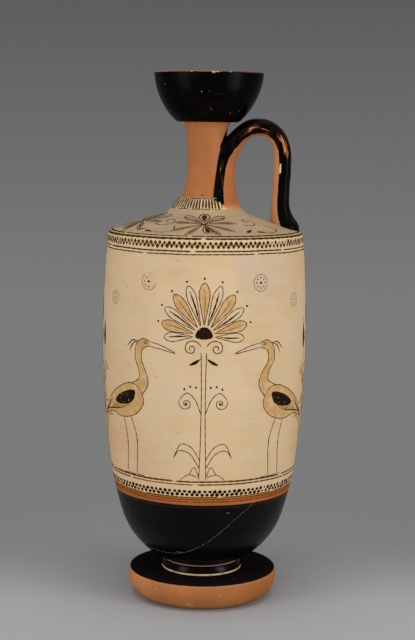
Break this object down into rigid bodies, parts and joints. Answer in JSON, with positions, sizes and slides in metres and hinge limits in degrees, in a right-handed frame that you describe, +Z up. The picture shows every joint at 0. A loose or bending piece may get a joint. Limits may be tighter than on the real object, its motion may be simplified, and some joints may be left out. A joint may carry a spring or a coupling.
{
  "type": "lekythos",
  "caption": "Tall ceramic oil flask with a calyx mouth, slim neck, flat shoulder, strap handle and disc foot, for pouring oil in a thin stream.",
  "frame": {"origin": "centre of the foot's resting plane, on the vessel's axis", "axes": "+Z up along the vessel's axis, +X from the axis towards the handle, +Y to the back"},
  "size_m": [0.1296, 0.1296, 0.334],
  "materials": {
    "black_gloss": "black gloss slip, worn on the edges",
    "clay": "bare orange clay, matt",
    "shoulder_slip": "thin pale slip over clay, matt, stained",
    "white_ground": "cream slip, matt, stained, with black gloss at the bottom"
  },
  "bodies": {
    "root": {"mouth": "black_gloss", "neck": "clay", "shoulder": "shoulder_slip", "body": "white_ground", "foot_fillet": "black_gloss", "foot": "clay", "handle": "black_gloss"}
  },
  "joints": []
}
